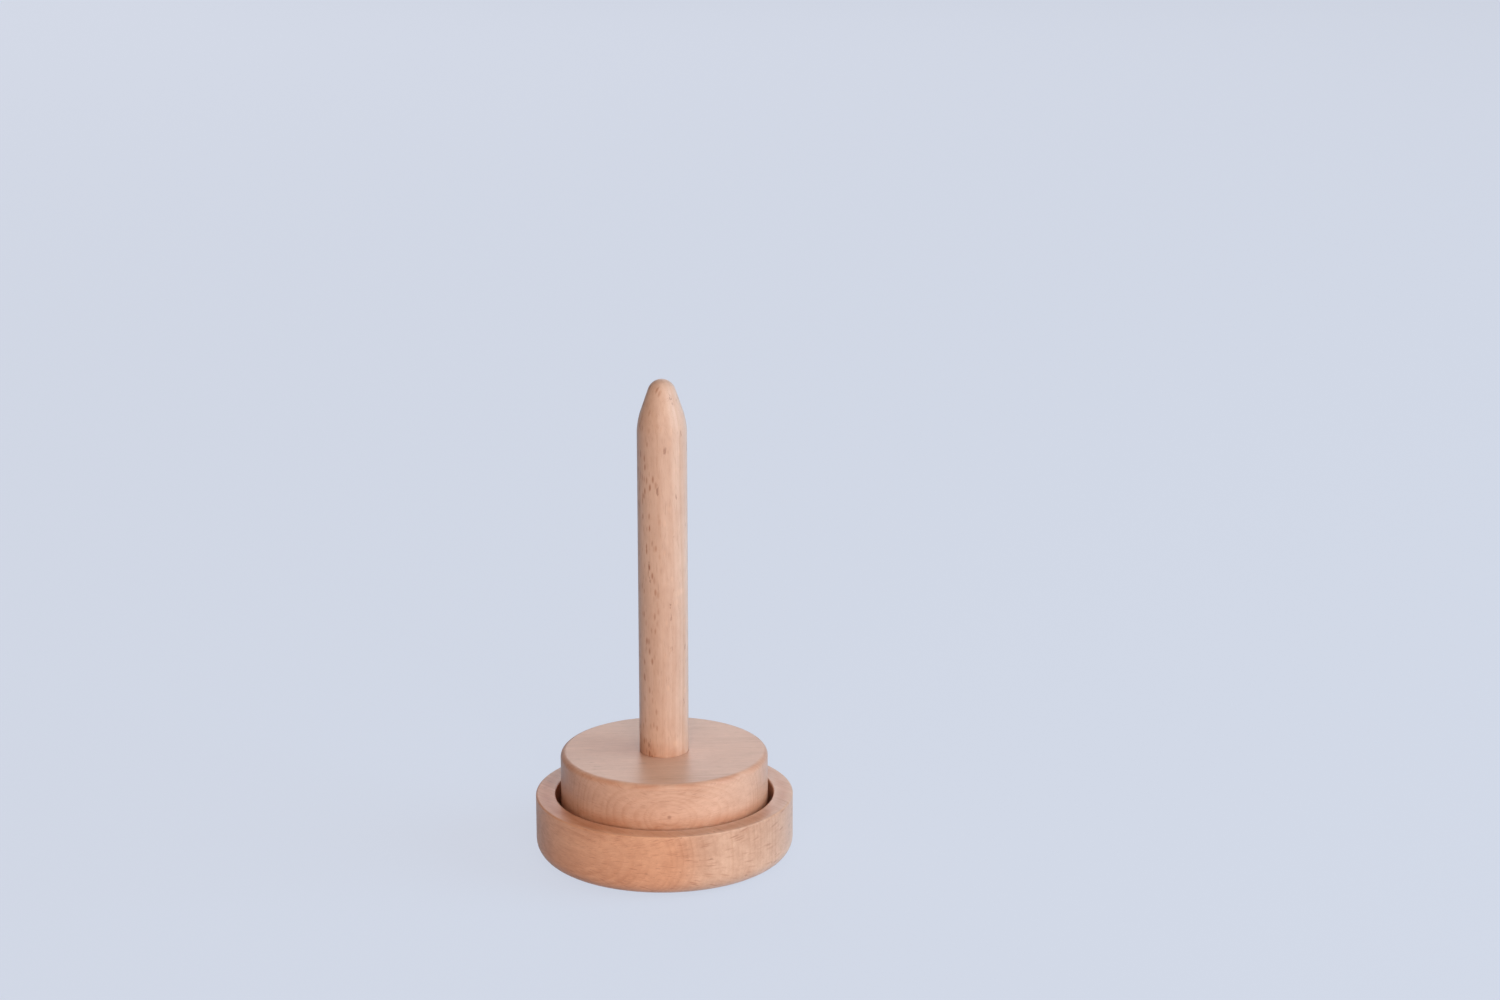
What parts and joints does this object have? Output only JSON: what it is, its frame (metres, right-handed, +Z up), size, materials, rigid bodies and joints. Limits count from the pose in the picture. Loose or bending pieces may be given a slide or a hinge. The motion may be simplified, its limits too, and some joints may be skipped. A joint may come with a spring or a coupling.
{
  "type": "yarn ball holder",
  "caption": "Upright wooden yarn ball holder: a tapered spindle on a disc that spins on a ball bearing in a round base, so the ball turns as its yarn is pulled.",
  "frame": {"origin": "on the spindle's axis, on the surface that the foot pads stand on", "axes": "+Z up along the spindle, which is the axis that the disc spins about"},
  "size_m": [0.105, 0.105, 0.2],
  "materials": {
    "base_beech": "satin varnish over sanded beech",
    "disc_beech": "satin varnish over sanded beech",
    "spindle_beech": "satin varnish over a sanded beech dowel",
    "pad_rubber": "matte",
    "bearing_steel": "ground and polished",
    "shield_steel": "pressed sheet",
    "zinc_steel": "bright zinc plate",
    "brass": "machined",
    "cage_nylon": "natural moulded nylon"
  },
  "bodies": {
    "base": {"base_bowl": "base_beech", "foot_pad_1": "pad_rubber", "foot_pad_2": "pad_rubber", "foot_pad_3": "pad_rubber", "foot_pad_4": "pad_rubber", "bearing_outer_ring": "bearing_steel", "lower_shield": "shield_steel", "upper_shield": "shield_steel"},
    "turntable": {"turntable_disc": "disc_beech", "spindle": "spindle_beech", "threaded_insert": "brass", "axle_screw": "zinc_steel", "head_washer": "zinc_steel", "spacer_washer": "zinc_steel", "bearing_inner_ring": "bearing_steel"},
    "ball_train": {"ball_cage": "cage_nylon"},
    "ball_1": {"bearing_ball_1": "bearing_steel"},
    "ball_2": {"bearing_ball_2": "bearing_steel"},
    "ball_3": {"bearing_ball_3": "bearing_steel"},
    "ball_4": {"bearing_ball_4": "bearing_steel"},
    "ball_5": {"bearing_ball_5": "bearing_steel"},
    "ball_6": {"bearing_ball_6": "bearing_steel"},
    "ball_7": {"bearing_ball_7": "bearing_steel"}
  },
  "joints": [
    {"name": "turntable_spin", "type": "hinge", "parent": "base", "child": "turntable", "pos_m": [0, 0, 0.0118], "axis": [0, 0, 1], "continuous": true},
    {"name": "ball_train_spin", "type": "hinge", "parent": "base", "child": "ball_train", "pos_m": [0, 0, 0.0118], "axis": [0, 0, 1], "continuous": true},
    {"name": "ball_1_roll", "type": "hinge", "parent": "ball_train", "child": "ball_1", "pos_m": [0, -0.00625, 0.0118], "axis": [0, 0, 1], "continuous": true},
    {"name": "ball_2_roll", "type": "hinge", "parent": "ball_train", "child": "ball_2", "pos_m": [0.00489, -0.0039, 0.0118], "axis": [0, 0, 1], "continuous": true},
    {"name": "ball_3_roll", "type": "hinge", "parent": "ball_train", "child": "ball_3", "pos_m": [0.00609, 0.00139, 0.0118], "axis": [0, 0, 1], "continuous": true},
    {"name": "ball_4_roll", "type": "hinge", "parent": "ball_train", "child": "ball_4", "pos_m": [0.00271, 0.00563, 0.0118], "axis": [0, 0, 1], "continuous": true},
    {"name": "ball_5_roll", "type": "hinge", "parent": "ball_train", "child": "ball_5", "pos_m": [-0.00271, 0.00563, 0.0118], "axis": [0, 0, 1], "continuous": true},
    {"name": "ball_6_roll", "type": "hinge", "parent": "ball_train", "child": "ball_6", "pos_m": [-0.00609, 0.00139, 0.0118], "axis": [0, 0, 1], "continuous": true},
    {"name": "ball_7_roll", "type": "hinge", "parent": "ball_train", "child": "ball_7", "pos_m": [-0.00489, -0.0039, 0.0118], "axis": [0, 0, 1], "continuous": true}
  ],
  "couplings": [
    {"joint": "ball_train_spin", "follows": "turntable_spin", "ratio": 0.36},
    {"joint": "ball_1_roll", "follows": "turntable_spin", "ratio": -1.6457},
    {"joint": "ball_2_roll", "follows": "turntable_spin", "ratio": -1.6457},
    {"joint": "ball_3_roll", "follows": "turntable_spin", "ratio": -1.6457},
    {"joint": "ball_4_roll", "follows": "turntable_spin", "ratio": -1.6457},
    {"joint": "ball_5_roll", "follows": "turntable_spin", "ratio": -1.6457},
    {"joint": "ball_6_roll", "follows": "turntable_spin", "ratio": -1.6457},
    {"joint": "ball_7_roll", "follows": "turntable_spin", "ratio": -1.6457}
  ]
}
